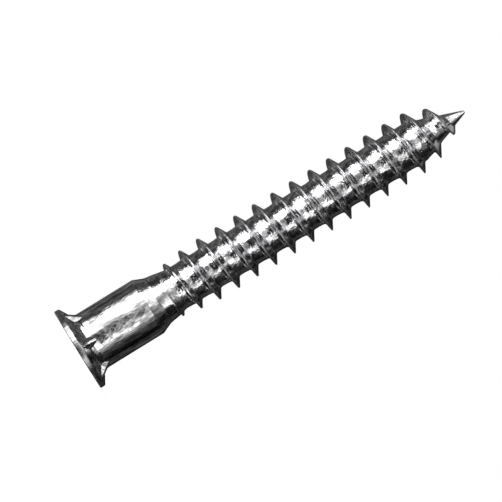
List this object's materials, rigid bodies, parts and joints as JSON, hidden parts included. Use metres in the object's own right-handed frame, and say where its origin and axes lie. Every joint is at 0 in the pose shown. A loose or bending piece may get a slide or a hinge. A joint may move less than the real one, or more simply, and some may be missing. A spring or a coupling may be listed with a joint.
{
  "type": "confirmat screw",
  "caption": "Zinc-plated steel connector screw for panel furniture: flat countersunk head with hex socket, plain shank, shoulder, deep coarse thread and conical point.",
  "frame": {"origin": "centre of the head's flat face, which the screw stands on", "axes": "+Z along the screw's axis from the head to the point; one rib under the head faces -Y"},
  "size_m": [0.0098, 0.0098, 0.05],
  "materials": {
    "zinc_steel": "bright zinc plate over cold-formed steel"
  },
  "bodies": {
    "root": {"screw": "zinc_steel"}
  },
  "joints": []
}
